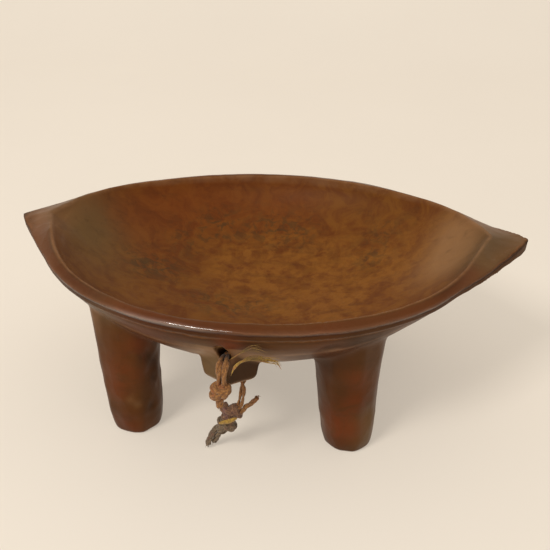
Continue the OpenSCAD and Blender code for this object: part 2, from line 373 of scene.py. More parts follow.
def twisted(route, diameter, plies, pitch, seed, lobes=4):
    """A strand of plies that wind round each other along a route."""
    rng = np.random.default_rng(seed)
    u, v = directions_across(route)
    reach = distance_along(route)
    ply_radius = diameter * PLY_RADII[plies]
    offset = diameter / 2 - ply_radius
    phase = rng.uniform(0, 2 * math.pi)
    parts = []
    for k in range(plies):
        turn = phase + 2 * math.pi * (reach / pitch + k / plies)
        ply = route + offset * (np.cos(turn)[:, None] * u + np.sin(turn)[:, None] * v)
        swell = 1 + 0.08 * np.sin(reach * rng.uniform(0.5, 1.1) + rng.uniform(0, 6))
        parts.append(tube(ply, closing_radii(ply, ply_radius) * swell, 16, lobes, 0.09, pitch * 0.8))
    return parts


def fray(tip, ahead, count, length, spread, seed, radius=0.35):
    """Fine fibres that fan out past a strand's end."""
    rng = np.random.default_rng(seed)
    parts = []
    for _ in range(count):
        start = np.array(tip) + rng.normal(0, 0.7, 3)
        way = np.array(ahead, float) / np.linalg.norm(ahead) + rng.normal(0, spread, 3)
        reach = length * rng.uniform(0.5, 1)
        middle = start + way * reach * 0.5 + rng.normal(0, 0.15 * reach * spread, 3)
        end = start + way * reach + rng.normal(0, 0.3 * reach * spread, 3)
        route = spline([start - 2 * way, start, middle, end], 0.8)
        parts.append(tube(route, np.linspace(radius, 0.3 * radius, len(route)), 5))
    return parts


# ---------------------------------------------------------------- cord

# Routes of the cord's stretches, from the hole outwards. The CAD's cord follows the same lines.
FRONT_LEFT = [(-14.5, -169, 124), (-16, -171, 119), (-16, -173, 113), (-16, -173, 107), (-16, -173, 101)]
FRONT_RIGHT = [(-9.5, -170, 124), (-10.5, -172, 119), (-11.5, -174, 113), (-11.5, -174, 107),
               (-11.5, -173, 101)]
FRONT_KNOT = (-14, -173, 96)
FRONT_TAG = [(-15, -173, 90), (-16, -173, 85), (-16, -173, 80)]
LOW_FIBRE = [(-5, -176, 115), (-1, -177, 125), (5, -177, 131), (14, -176, 134), (25, -174, 132),
             (33, -172, 129), (37, -170, 121)]
HIGH_FIBRE = [(-6, -177, 131), (4, -177, 139), (13, -177, 144), (20, -176, 143), (26, -175, 140)]
BACK_LEFT = [(-5, -130, 88), (-5, -131, 80), (-2, -132, 71), (-3, -131, 62), (-6, -130, 49)]
BACK_RIGHT = [(1, -130, 88), (-1, -128, 80), (-5, -128, 71), (-6, -128, 62), (-9, -128, 49)]
UPPER_BACK_KNOT = (-13, -129, 44)
SIDE_TAIL = [(-6, -129, 43), (-1, -129, 49), (5, -130, 55), (10, -131, 62)]
LOWER_BACK_KNOT = (-18, -130, 29)
END_LONG = [(-25, -130, 26), (-31, -131, 21), (-35, -132, 13), (-38, -133, 4)]
END_SHORT = [(-21, -129, 21), (-27, -130, 17), (-30, -129, 10), (-33, -129, 5)]

# The bore goes in at the lug's front, bends, and comes out at the back of its underside.
BORE_FRONT = (-13, -167, 131)
BORE_BEND = (-7, -151, 120)
BORE_BACK = (0, -131, 95)
BORE_RADIUS = 5.8
# Both its straight stretches run on out of the wood, by these shares of their length.
BORE_FRONT_REACH, BORE_BACK_REACH = 1.4, 1.5

STRAND_WIDTH = 5.6
WORN_STRAND_WIDTH = 3.3
TAIL_WIDTH = 5.8
SIDE_TAIL_WIDTH = 4.8
TAG_WIDTH = 7.0

# Reach and strength of the painted shade near the hole, and of the darker middle of the loose fibres.
HOLE_SHADE = (12, 3)
TUFT_SHADE = (16, 1.2)


def mm(points):
    """Places in metres, as an array in millimetres."""
    return np.array(points, float) / MM


def cord_piece(name, parts, material, body):
    """A piece of cord that rides on one body, and stands for the CAD node of the same name."""
    points, faces, crease_shade = joined(parts)
    piece = mesh_object(name, points, faces, material, {"crease_shade": crease_shade})
    if body:
        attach(piece, body)
    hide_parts(name)
    return piece


def winding(centre, radii, lean, nod, first, last, climb):
    """A route that winds round an upright axis, between two angles in degrees. 0 is to the right and -90 in
    front. lean lowers its right side, and nod lowers its front."""
    share = np.linspace(0, 1, 60)
    angle = np.radians(first + (last - first) * share)
    x, y, z = radii[0] * np.cos(angle), radii[1] * np.sin(angle), climb * (share - 0.5)
    lean, nod = math.radians(lean), math.radians(nod)
    y, z = y * math.cos(nod) - z * math.sin(nod), y * math.sin(nod) + z * math.cos(nod)
    x, z = x * math.cos(lean) + z * math.sin(lean), z * math.cos(lean) - x * math.sin(lean)
    return np.stack([x, y, z], 1) + np.array(centre)


def wrap(seed, width, *place):
    """One turn of a knot, as a thick bundle of plies round a core."""
    route = winding(*place)
    core = tube(route, closing_radii(route, 0.36 * width), 14)
    return [core] + twisted(route, width, plies=4, pitch=34, seed=seed, lobes=3)


def shaded(parts, centre, reach, amount):
    """The same parts, darker near a point."""
    darker = []
    for points, faces, crease_shade in parts:
        near = 1 - np.linalg.norm(points - centre, axis=1) / reach
        darker.append((points, faces, np.maximum(crease_shade, amount * near)))
    return darker


def knot_core(points, radius):
    """The middle of a knot, which shows between its turns."""
    route = spline(points, 1)
    return tube(route, closing_radii(route, radius), sides=20, lobes=7, lobe_depth=0.06, lobe_pitch=40)


def make_front_cord():
    knot = np.array(FRONT_KNOT, float)
    turns = [knot_core([knot + (0, -0.5, 8), knot, knot + (-1, 0, -6)], 5.5)]
    turns += wrap(3, 8.6, knot + (0, -0.5, 3.6), (5.4, 2.8), 8, 26, -250, 70, 1)
    turns += wrap(5, 9.2, knot + (-3.4, -0.5, -0.5), (4.2, 2.8), -48, 16, -230, 60, -2)
    turns += wrap(7, 6.4, knot + (3.6, -1.5, 0.5), (3.6, 2.8), -60, 6, -200, 10, 1)
    knot_piece = cord_piece("front_knot", turns, SENNIT, "front_cord")

    tag_route = spline([knot + (0, 0, -2), *FRONT_TAG], 0.8)
    tag_parts = twisted(tag_route, TAG_WIDTH, plies=4, pitch=30, seed=11)
    tag_parts += fray(tag_route[-1], (0, 0, -1), count=26, length=2.5, spread=0.3, seed=12)
    tag = cord_piece("front_tag", tag_parts, SENNIT, "front_cord")

    starts = {"left": ((-13, -161, 125), FRONT_LEFT), "right": ((-10, -161, 125.5), FRONT_RIGHT)}
    for seed, (side, (start, points)) in enumerate(starts.items(), 21):
        route = spline([start, *points, knot + (0, 0, 1)], 0.8)
        name = "front_strand_" + side
        parts = twisted(route, STRAND_WIDTH, plies=2, pitch=46, seed=seed, lobes=7)
        # Painted shade on the strands where they go into the hole.
        parts = shaded(parts, route[0], *HOLE_SHADE)
        strand = cord_piece(name, parts, SENNIT, None)
        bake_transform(strand)


def make_back_cord():
    upper, lower = np.array([UPPER_BACK_KNOT, LOWER_BACK_KNOT], float)
    turns = [knot_core([upper + (5, 0, 4), upper, upper + (-3, 0, -5), lower + (3, 0, 5)], 5.5)]
    turns += wrap(31, 8.4, upper + (-3, -0.5, 1.5), (5.4, 3.4), 12, 14, -240, 70, 2)
    turns += wrap(32, 7.4, upper + (3.0, 0, -0.5), (4.4, 3.6), 62, 6, -220, 60, 2)
    turns += wrap(35, 7.0, upper + (-4.5, -0.5, -5), (4.6, 3.4), -30, 8, -220, 60, 2)
    upper_piece = cord_piece("upper_back_knot", turns, KNOT_SENNIT, "back_cord")
    turns = [knot_core([lower + (5, 0, 5), lower, lower + (-4, 0, -4)], 6.0)]
    turns += wrap(33, 9.0, lower + (-1, -0.5, 0.0), (5.8, 3.2), 34, 10, -230, 80, 2)
    turns += wrap(34, 8.6, lower + (-5.5, 0, -2), (4.2, 3.4), -50, 4, -200, 50, 2)
    lower_piece = cord_piece("lower_back_knot", turns, WORN_SENNIT, "back_cord")

    starts = {"left": ((-3, -133, 97), BACK_LEFT), "right": ((1, -131, 97), BACK_RIGHT)}
    for seed, (side, (start, points)) in enumerate(starts.items(), 41):
        route = spline([start, *points, upper], 0.8)
        name = "back_strand_" + side
        parts = twisted(route, WORN_STRAND_WIDTH, plies=2, pitch=30, seed=seed, lobes=7)
        strand = cord_piece(name, parts, SENNIT, None)
        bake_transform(strand)

    tails = {"side_tail": (SIDE_TAIL, upper + (-1, 0, -2), SIDE_TAIL_WIDTH, SENNIT),
             "end_tail_long": (END_LONG, lower + (2, 0, 2), TAIL_WIDTH, WORN_SENNIT),
             "end_tail_short": (END_SHORT, lower + (3, 0, 6), TAIL_WIDTH, WORN_SENNIT)}
    for seed, (name, (points, start, width, material)) in enumerate(tails.items(), 51):
        route = spline([start, *points], 0.8)
        parts = twisted(route, width, plies=3, pitch=26, seed=seed)
        parts += fray(route[-1], route[-1] - route[-4], count=14, length=2.5, spread=0.3, seed=seed + 10,
                      radius=0.3)
        tail = cord_piece(name, parts, material, "back_cord")

    leaf = spline([upper + (5, -9, -2), upper + (-3, -10.5, -5.5), upper + (-12, -9, -10)], 0.6)
    share = np.linspace(-1, 1, len(leaf))
    parts = [tube(leaf, 2.6 * np.sqrt(np.clip(1.02 - share**2, 0, 1)), 8, flat=0.3)]
    points, faces, crease_shade = joined(parts)
    piece = mesh_object("leaf_scrap", points, faces, LOOSE_FIBRE, {"crease_shade": crease_shade})
    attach(piece, "back_cord")


def make_bore_strands():
    route = spline([(-11, -161, 126), (-7, -151, 119), (-4, -142, 108), (-1, -132, 95)], 1)
    parts = twisted(route, 9, plies=2, pitch=50, seed=61)
    cord_piece("hole_strands", parts, SENNIT, "carved_body")


def wisps(route, count, drift, radius, seed):
    """Thin torn fibres that follow a route and part from it."""
    rng = np.random.default_rng(seed)
    parts = []
    for _ in range(count):
        first = int(len(route) * rng.uniform(0, 0.45))
        last = int(len(route) * rng.uniform(0.6, 1))
        some = route[first:last]
        share = np.linspace(0, 1, len(some))[:, None]
        away = rng.normal(0, drift, 3) * (1, 0.4, 1)
        bow = np.sin(math.pi * share) * rng.normal(0, 0.5 * drift, 3) * (1, 0.4, 1)
        size = radius * rng.uniform(0.5, 1.3) * np.clip(np.minimum(8 * share, 4 - 4 * share), 0.2, 1)[:, 0]
        parts.append(tube(some + away * share + bow, size, 6, flat=rng.uniform(0.3, 1)))
    return parts


# Widths of the flat strip of loose fibre: shares of its length, then the widths there.
FIBRE_SWELL = ([0, 0.2, 0.4, 0.5, 0.8, 0.9, 1], [1, 1.7, 1.2, 0.6, 0.6, 1.3, 0.8])


def make_loose_fibres():
    """A tuft of torn fibre that stands out of the front strands: flat strips low down, fine hairs above."""
    for name, points, radius, count, drift in (("loose_fibre_low", LOW_FIBRE, 0.75, 16, 1.7),
                                               ("loose_fibre_high", HIGH_FIBRE, 0.3, 6, 2.2)):
        route = spline(points, 0.7)
        share = np.linspace(0, 1, len(route))
        flat_strip = radius > 0.5
        swell = np.interp(share, *FIBRE_SWELL) if flat_strip else 1
        radii = radius * swell * np.clip(np.minimum(share * 6, (1 - share) * 4), 0.15, 1)
        parts = [tube(route, radii, 8, flat=0.35 if flat_strip else 1.0)]
        parts += wisps(route, count, drift, radius=0.3 * radius + 0.1, seed=len(name))
        parts = shaded(parts, route[len(route) // 2], *TUFT_SHADE)
        fibre = cord_piece(name, parts, LOOSE_FIBRE, None)
        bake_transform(fibre)


make_front_cord()
make_back_cord()
make_bore_strands()
make_loose_fibres()


# ---------------------------------------------------------------- the carved body's form

# The bowl, its legs and its lug are one block of wood. Its form is a field: a number for any place in
# millimetres that is about the distance to the wood's surface, below 0 inside the wood.

BODY_LOW, BODY_HIGH = mm(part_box("bowl"))
EAR_TIP_X = BODY_HIGH[0]
RIM_Y = BODY_HIGH[1]
RIM_RIGHT_X, RIM_LEFT_X = 212, 223
RIM_X = 0.5 * (RIM_RIGHT_X + RIM_LEFT_X)
RIM_Z = 158
RIGHT_EAR_Z, LEFT_EAR_Z = 176, 172
RIGHT_CLIMB, LEFT_CLIMB = 5, 3.2
BAND_HEIGHT, EAR_BAND = 7.5, 6
BAND_INSET = 3
EAR_BAND_POWER = 8
# The band's hollow: shares of the way down it, then how far it is cut in there.
BAND_PROFILE = ([0, 0.25, 0.6, 0.9, 1.1], [0, 1.5, 1.9, 2.0, BAND_INSET])
EAR_POINT_X = EAR_TIP_X + 7.5
EAR_ROUND = 5

BASIN_X, BASIN_Y = 207, 165
BASIN_POINT_X = 218
BASIN_ROUND = 3
BASIN_SHIFT = -3
# How deep under its crest the basin's ends have turned round, and how soon.
POINT_DEPTH, POINT_FADE = 40, 0.7
CREST_Z, CREST_END_Z = 162, 176
CREST_CLIMB = 4.4
BASIN_FLOOR_Z = 90
BELLY_Z = 76

# Powers that shape the bowl's sections. The second is for its middle, and the third for under its ears.
# EAR_SHARE says how near the long axis the third one takes over.
BELLY_SECTION = (2.5, 1.6, 0.6)
BASIN_SECTION = (2.2, 1.9, 1.1)
EAR_SHARE = 2.7

FOOT_RADIUS = 22
FOOT_ROUNDING, FOOT_ROUNDING_HEIGHT = 4.5, 14
THIGH_HEIGHT, THIGH_POWER = 130, 1.8
LEAN_TOP_Z = 70
FACETS, FACET_DEPTH, FACET_EDGE = 9, 1.1, 3
ROUND_SHARE, HEWN_SHARE = 0.4, 0.6
LEG_REACH, LEG_TOP_Z = 75, 150

LUG_TOP_Z, LUG_LOW_Z, LUG_FOOT_Z = 147, 97, 92
LUG_ROOT = [(-9, -172), (21, -151), (19, -118), (-37, -118), (-42, -152)]
LUG_TIP = [(-9, -162), (12, -149), (10, -119), (-30, -119), (-35, -151)]
LUG_EDGE, CHAMFER_EDGE = 1.8, 2
CHAMFER_ALONG, CHAMFER_UP = 0.75, 0.66

# How far joins and edges are rounded over. Some vary, by z for the legs and by x for the rim: places, widths.
LEG_JOIN = ([95, 135], [9, 3])
LUG_JOIN = 3.5
BASIN_EDGE = ([-215, -190], [9, 2])
RIM_EDGE = ([-130, -90, -10, 30], [2.4, 5, 5, 2.4])
BORE_EDGE = 1.2
FOOT_EDGE = 3


def smooth_max(a, b, width):
    """The larger of two distances, with the edge where they meet rounded over."""
    share = np.clip(0.5 + 0.5 * (a - b) / width, 0, 1)
    return b + (a - b) * share + width * share * (1 - share)


def smooth_min(a, b, width):
    return -smooth_max(-a, -b, width)


def pointed_gauge(x, y, half_x, half_y, point_x, rounding, ease=0):
    """1 on an outline, less inside it: an ellipse, with tangents out to a rounded point at each end. ease is
    how far the points give way to the plain ellipse."""
    cos = half_x / point_x
    sin = np.sqrt(1 - cos**2)
    ellipse = np.hypot(x / half_x, y / half_y)
    point = np.abs(x) * cos / half_x + np.hypot(y, rounding) * sin / half_y
    point = point * (1 - ease) + ellipse * ease
    return np.where(np.abs(y) * half_x * cos < np.abs(x) * half_y * sin, point, ellipse)


def rim_gauge(x, y):
    return pointed_gauge(x, y, np.where(x > 0, RIM_RIGHT_X, RIM_LEFT_X), RIM_Y, EAR_POINT_X, EAR_ROUND)


def basin_gauge(x, y, below=0):
    """below is the depth under the basin's crest: its pointed ends soon turn round as they go down."""
    ease = np.clip(below / POINT_DEPTH, 0, 1) ** POINT_FADE
    return pointed_gauge(x - BASIN_SHIFT, y, BASIN_X, BASIN_Y, BASIN_POINT_X, BASIN_ROUND, ease)


def section(across, down, section_powers, x, y, wide, deep):
    """About the distance from a bowl's curved section. across is 1 at its edge, down is 1 at its floor."""
    power, middle, end = section_powers
    share = (np.abs(x) / (np.hypot(x, y) + 1)) ** EAR_SHARE
    turn = middle * (1 - share) + end * share
    down = down + 1e-3
    value = across**power + down**turn - 1
    slope = np.hypot(power * across ** (power - 1) / wide, turn * np.minimum(down, 1.5) ** (turn - 1) / deep)
    return value / slope


def rim_height(x):
    right, left = (np.abs(x) / EAR_TIP_X) ** RIGHT_CLIMB, (np.abs(x) / EAR_TIP_X) ** LEFT_CLIMB
    return RIM_Z + np.where(x > 0, (RIGHT_EAR_Z - RIM_Z) * right, (LEFT_EAR_Z - RIM_Z) * left)


def crest_height(x):
    return CREST_Z + (CREST_END_Z - CREST_Z) * np.minimum(np.abs(x) / BASIN_X, 1) ** CREST_CLIMB


def rim_top(x, y):
    """Height of the rim's top, which slopes from the basin's crest down to the outer ridge."""
    from_crest = np.clip(basin_gauge(x, y) - 1, 0, None) * 0.5 * (BASIN_X + BASIN_Y)
    from_ridge = np.clip(1 - rim_gauge(x, y), 0, None) * 0.5 * (RIM_X + RIM_Y) + 0.01
    share = from_crest / (from_crest + from_ridge)
    return crest_height(x) * (1 - share) + rim_height(x) * share


def belly(x, y, z):
    """The bowl's outside: a band under the rim, then a curve that rounds in to the flat underside."""
    band = BAND_HEIGHT + EAR_BAND * (np.abs(x) / EAR_TIP_X) ** EAR_BAND_POWER
    below = (rim_height(x) - z) / band
    inset = np.interp(below, *BAND_PROFILE)
    across = rim_gauge(x, y) / (1 - inset / RIM_Y)
    depth = rim_height(x) - band - BELLY_Z
    down = np.clip((rim_height(x) - band - z) / depth, 0, None)
    return section(across, down, BELLY_SECTION, x, y, 0.5 * (RIM_X + RIM_Y), depth)


def hollow(x, y, z):
    """The basin: below 0 in its open space."""
    depth = crest_height(x) - BASIN_FLOOR_Z
    down = np.clip((crest_height(x) - z) / depth, 0, None)
    across = basin_gauge(x, y, crest_height(x) - z)
    return section(across, down, BASIN_SECTION, x, y, 0.5 * (BASIN_X + BASIN_Y), depth)


class Leg:
    """A leg hewn from the block, about round but with a few flat facets down its length."""

    def __init__(self, node, shift, lean, growth, seed):
        low, high = mm(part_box(node))
        self.x, self.y = (low[:2] + high[:2]) / 2 + (shift, 0)
        self.lean, self.growth = lean, growth
        rng = np.random.default_rng(seed)
        angle = 2 * math.pi * (np.arange(FACETS) + rng.uniform(-0.3, 0.3, FACETS)) / FACETS
        self.facing = np.stack([np.cos(angle), np.sin(angle)], 1)
        self.cut = rng.uniform(-0.8, 1.2, FACETS)

    def near(self, x, y, z):
        return (np.hypot(x - self.x, y - self.y) < LEG_REACH) & (z < LEG_TOP_Z)

    def distance(self, x, y, z):
        dx, dy = x - self.x - self.lean * np.minimum(z, LEAN_TOP_Z), y - self.y
        radius = (FOOT_RADIUS + FOOT_ROUNDING * (1 - np.exp(-z / FOOT_ROUNDING_HEIGHT))
                  + self.growth * (np.abs(z) / THIGH_HEIGHT) ** THIGH_POWER)
        round_leg = np.hypot(dx, dy) - radius
        facets = [dx * c + dy * s - radius + FACET_DEPTH + cut for (c, s), cut in zip(self.facing, self.cut)]
        hewn = facets[0]
        for facet in facets[1:]:
            hewn = smooth_max(hewn, facet, FACET_EDGE)
        return ROUND_SHARE * round_leg + HEWN_SHARE * hewn


LEGS = [Leg("leg_front_left", shift=-2.4, lean=-0.05, growth=5, seed=1),
        Leg("leg_front_right", shift=0, lean=-0.03, growth=8.5, seed=2),
        Leg("leg_back_left", shift=-1, lean=-0.03, growth=7, seed=3),
        Leg("leg_back_right", shift=1, lean=-0.02, growth=7, seed=4)]


def lug(x, y, z):
    """The pierced lug: five slanted faces that narrow downwards, and a chamfered foot."""
    share = (LUG_TOP_Z - z) / (LUG_TOP_Z - LUG_LOW_Z)
    root, tip = np.array(LUG_ROOT, float), np.array(LUG_TIP, float)
    distance = LUG_FOOT_Z - z
    for k in range(len(root)):
        a, b = root[k], root[(k + 1) % len(root)]
        c, d = tip[k], tip[(k + 1) % len(root)]
        outward = np.array([(b - a)[1], -(b - a)[0]]) / np.linalg.norm(b - a)
        across = (x - a[0]) * outward[0] + (y - a[1]) * outward[1]
        drawn_in = ((c + d) / 2 - a) @ outward
        face = across - drawn_in * share
        distance = smooth_max(distance, face, LUG_EDGE)
        chamfer = CHAMFER_ALONG * face + CHAMFER_UP * (LUG_LOW_Z - z - 1)
        distance = smooth_max(distance, chamfer, CHAMFER_EDGE)
    return distance


def bore(x, y, z):
    """Distance to the wall of the hole through the lug, below 0 in the hole."""
    front, bend, back = np.array([BORE_FRONT, BORE_BEND, BORE_BACK], float)
    places = np.stack([x, y, z], -1)
    near = []
    for start, end in ((bend + BORE_FRONT_REACH * (front - bend), bend),
                       (bend, bend + BORE_BACK_REACH * (back - bend))):
        line = end - start
        share = np.clip((places - start) @ line / (line @ line), 0, 1)
        near.append(np.linalg.norm(places - start - share[:, None] * line, axis=1))
    return np.minimum(*near) - BORE_RADIUS


def form(places):
    """The whole body's field at an array of places."""
    x, y, z = places.T
    value = belly(x, y, z)
    leg_join = np.interp(z, *LEG_JOIN)
    for leg in LEGS:
        near = leg.near(x, y, z)
        value[near] = smooth_min(value[near], leg.distance(x[near], y[near], z[near]), leg_join[near])
    by_lug = (np.abs(x + 10) < 60) & (y < -90) & (z > 80)
    value[by_lug] = smooth_min(value[by_lug], lug(x[by_lug], y[by_lug], z[by_lug]), LUG_JOIN)
    value = smooth_max(value, -hollow(x, y, z), np.interp(x, *BASIN_EDGE))
    value = smooth_max(value, z - rim_top(x, y), np.interp(x, *RIM_EDGE))
    value[by_lug] = smooth_max(value[by_lug], -bore(x[by_lug], y[by_lug], z[by_lug]), BORE_EDGE)
    return smooth_max(value, -z, FOOT_EDGE)


TABLE_SIZE = 32
RANDOM_TABLE = np.random.default_rng(7).uniform(-1, 1, (TABLE_SIZE, TABLE_SIZE, TABLE_SIZE))


def soft_noise(places, cell):
    """Smooth random values between -1 and 1 that change over about a cell's width."""
    place = places / cell + 100
    low = np.floor(place).astype(int)
    share = place - low
    share = share * share * (3 - 2 * share)
    total = np.zeros(len(places))
    for i in (0, 1):
        for j in (0, 1):
            for k in (0, 1):
                corner = RANDOM_TABLE[tuple(((low + (i, j, k)) % TABLE_SIZE).T)]
                weight = np.abs(share - (1 - i, 1 - j, 1 - k)).prod(axis=1)
                total += corner * weight
    return total


def tool_marks(places, cell):
    """About 1 on the low ridges between the shallow scoops that an adze leaves, 0 in their middles."""
    place = places / cell + 100
    low = np.floor(place).astype(int)
    nearest = np.full(len(places), 9.0)
    for i in (-1, 0, 1):
        for j in (-1, 0, 1):
            for k in (-1, 0, 1):
                cube = (low + (i, j, k)) % TABLE_SIZE
                turned = [tuple(np.roll(cube, turn, axis=1).T) for turn in range(3)]
                jitter = np.stack([RANDOM_TABLE[key] for key in turned], 1)
                centre = low + (i, j, k) + 0.5 + 0.45 * jitter
                nearest = np.minimum(nearest, ((place - centre) ** 2).sum(axis=1))
    return np.clip(nearest, 0, 1.2)


# Knocks and gouges: x, y, z, radius and depth.
DENTS = [(-90, -110, 60, 4, 1.6), (-94, -115, 30, 4, 1.4), (-93, -117, 90, 6, 1.5),
         (-89, -109, 79, 7, 1.8), (-92, -114, 70, 6, 1.6), (-88, -106, 50, 5, 1.2),
         (-111, -126, 47, 5, 0.5), (-105, -124, 36, 4, 0.6), (-125, -112, 20, 6, 1.4),
         (-131, -106, 60, 7, 1.2), (-128, -108, 38, 5, 1.0), (-126, -133, 125, 4, 1.0),
         (-116, -132, 112, 4, 0.9), (-107, -129, 94, 4, 0.9), (25, -162, 163, 3, 1.0),
         (72, -158, 137, 5, 1.3), (80, -156, 138, 5, 1.3), (97, -126, 75, 9, 0.9), (108, -119, 45, 8, 0.8)]


# Waves in the surface, as their width and height, and the ones that are only on the legs.
WAVES = [(47, 0.7), (13, 0.22)]
LEG_WAVE_WIDTH, LEG_WAVE_HEIGHT = 9, 0.3
# The adze's scoops, which are deeper on the legs, and mostly worn away in the basin and near the rim.
SCOOP_WIDTH = 15
SCOOP_SQUEEZE = (1, 1, 0.6)
SCOOP_DEPTH, MORE_ON_LEG = 0.4, 0.5
LEFT_IN_BASIN, LEFT_NEAR_RIM = 0.2, 0.4
# Heights between which the legs' surface gives way to the bowl's.
ON_LEG = ([70, 110], [1, 0])


def inside_basin(x, y, z):
    """1 on the basin's surface, and 0 from 3 mm away from it."""
    return np.clip(1.5 - 0.5 * hollow(x, y, z), 0, 1)


def carved(places):
    """The body's field with the unevenness of hand work."""
    x, y, z = places.T
    value = form(places)
    for width, height in WAVES:
        value = value - height * soft_noise(places, width)
    on_leg = np.interp(z, *ON_LEG)
    value -= LEG_WAVE_HEIGHT * on_leg * soft_noise(places, LEG_WAVE_WIDTH)
    marks = tool_marks(places * SCOOP_SQUEEZE, SCOOP_WIDTH)
    scoops = (SCOOP_DEPTH + MORE_ON_LEG * on_leg) * (0.5 - marks)
    left = np.clip(1 - inside_basin(x, y, z), LEFT_IN_BASIN, 1)
    value += scoops * left * np.where(rim_gauge(x, y) > 0.96, LEFT_NEAR_RIM, 1)
    for *centre, radius, depth in DENTS:
        value += depth * np.exp(-((places - centre) ** 2).sum(axis=1) / radius**2)
    return value


GRADIENT_STEP = 0.4


def gradient(field, places):
    """The direction in which a field grows, from differences over a small step."""
    slope = [field(places + offset) - field(places - offset) for offset in GRADIENT_STEP * np.eye(3)]
    return np.stack(slope, 1) / (2 * GRADIENT_STEP)


def surface_net(field, low, high, step):
    """A quad mesh of the surface where a field is zero, with one point in each grid cell that it crosses."""
    axes = [np.arange(a, b + step, step) for a, b in zip(low, high)]
    across, back = np.meshgrid(axes[0], axes[1], indexing="ij")
    values = np.stack([field(np.stack([across.ravel(), back.ravel(), np.full(across.size, z)], 1))
                       for z in axes[2]], 1).reshape(len(axes[0]), len(axes[1]), len(axes[2]))
    inside = values < 0
    cells = np.array(inside.shape) - 1

    def corner(array, shift):
        return array[tuple(slice(s, s + n) for s, n in zip(shift, cells))]

    corners = [(i, j, k) for i in (0, 1) for j in (0, 1) for k in (0, 1)]
    crossings, total = np.zeros(cells), np.zeros((*cells, 3))
    for a in corners:
        for axis in range(3):
            if a[axis]:
                continue
            b = tuple(1 if n == axis else v for n, v in enumerate(a))
            va, vb = corner(values, a), corner(values, b)
            cut = (va < 0) != (vb < 0)
            share = np.where(cut, va / np.where(cut, va - vb, 1), 0)
            crossings += cut
            for n in range(3):
                total[..., n] += cut * a[n] + (share if n == axis else 0)
    used = crossings > 0
    number = np.full(used.shape, -1)
    number[used] = np.arange(used.sum())
    origin = np.stack(np.nonzero(used), 1)
    points = np.array(low) + step * (origin + total[used] / crossings[used][:, None])

    faces = []
    for axis in range(3):
        u, v = (axis + 1) % 3, (axis + 2) % 3
        first, second = np.moveaxis(inside, axis, 0)[:-1], np.moveaxis(inside, axis, 0)[1:]
        place = np.stack(np.nonzero(first != second), 1)
        order = [axis] + [n for n in range(3) if n != axis]
        edge = np.empty_like(place)
        edge[:, order] = place
        edge = edge[(edge[:, u] > 0) & (edge[:, v] > 0) & (edge[:, u] < cells[u]) & (edge[:, v] < cells[v])]
        outward = inside[tuple(edge.T)]
        quad = []
        for du, dv in ((1, 1), (0, 1), (0, 0), (1, 0)):
            cell = edge.copy()
            cell[:, u] -= du
            cell[:, v] -= dv
            quad.append(number[tuple(cell.T)])
        quad = np.stack(quad, 1)
        quad[~outward] = quad[~outward][:, ::-1]
        faces.append(quad)
    return points, np.concatenate(faces)


def settle(points, faces, field, rounds):
    """Evens out the points of a mesh along its surface, and puts them on the field's zero."""
    edges = np.concatenate([faces[:, [n, (n + 1) % faces.shape[1]]] for n in range(faces.shape[1])])
    for _ in range(rounds):
        total, count = np.zeros_like(points), np.zeros(len(points))
        for a, b in (edges.T, edges.T[::-1]):
            for n in range(3):
                total[:, n] += np.bincount(a, points[b, n], len(points))
            count += np.bincount(a, minlength=len(points))
        points = 0.5 * points + 0.5 * total / count[:, None]
        points = put_on_surface(points, field)
    return points


def put_on_surface(points, field):
    """The points moved along the field's slope to its zero, by about 2 mm at most."""
    slope = gradient(field, points)
    step = field(points) / np.clip((slope**2).sum(axis=1), 0.3, None)
    return points - np.clip(step, -2, 2)[:, None] * slope


GRID_STEP = 1.8
GRID_MARGIN_LOW, GRID_MARGIN_HIGH = (8, 8, 4), (8, 8, 6)
TRIANGLES = 190_000
SETTLE_ROUNDS = 3
CARVE_ROUNDS = 3


def fewer_triangles(points, faces):
    """The mesh with flat stretches joined into larger triangles."""
    mesh = bpy.data.meshes.new("dense")
    mesh.from_pydata(points.tolist(), [], faces.tolist())
    dense = bpy.data.objects.new("dense", mesh)
    bpy.context.scene.collection.objects.link(dense)
    thin = dense.modifiers.new("thin", "DECIMATE")
    thin.ratio = min(1, TRIANGLES / (2 * len(faces)))
    thin.use_collapse_triangulate = True
    result = dense.evaluated_get(bpy.context.evaluated_depsgraph_get()).to_mesh()
    new_points = np.empty(len(result.vertices) * 3)
    result.vertices.foreach_get("co", new_points)
    new_faces = np.empty(len(result.loops), int)
    result.loops.foreach_get("vertex_index", new_faces)
    bpy.data.objects.remove(dense)
    bpy.data.meshes.remove(mesh)
    return new_points.reshape(-1, 3), new_faces.reshape(-1, 3)


def blobs(points, places):
    """Soft patches, up to 1: each place is x, y, z, a radius and a strength."""
    total = np.zeros(len(points))
    for x, y, z, radius, strength in places:
        away = np.linalg.norm(points - (x, y, z), axis=1)
        total += strength * np.exp(-(away / radius) ** 2)
    return np.clip(total, 0, 1)


# Patches of colour on the wood, with some painted sheen and shade among them: x, y, z, radius and strength.
AMBER = [(-2, 71, 96, 50, 0.8), (45, 50, 95, 60, 0.9), (-22, 25, 91, 45, 0.7), (34, -5, 91, 60, 0.8),
         (-40, 65, 97, 36, 0.6), (110, 40, 110, 60, 0.7), (90, -60, 105, 50, 0.5), (160, 40, 138, 50, 0.4)]
STAINS = [(-69, 114, 116, 26, 0.8), (-17, 122, 114, 28, 0.7), (20, 118, 112, 26, 0.6),
          (-99, 82, 112, 26, 0.6), (101, 68, 111, 24, 0.6), (116, 101, 128, 22, 0.5),
          (-137, 14, 116, 24, 0.7), (-112, 22, 107, 24, 0.6), (-61, -18, 94, 22, 0.6),
          (-4, -13, 90, 26, 0.5), (-33, -30, 92, 22, 0.6)]
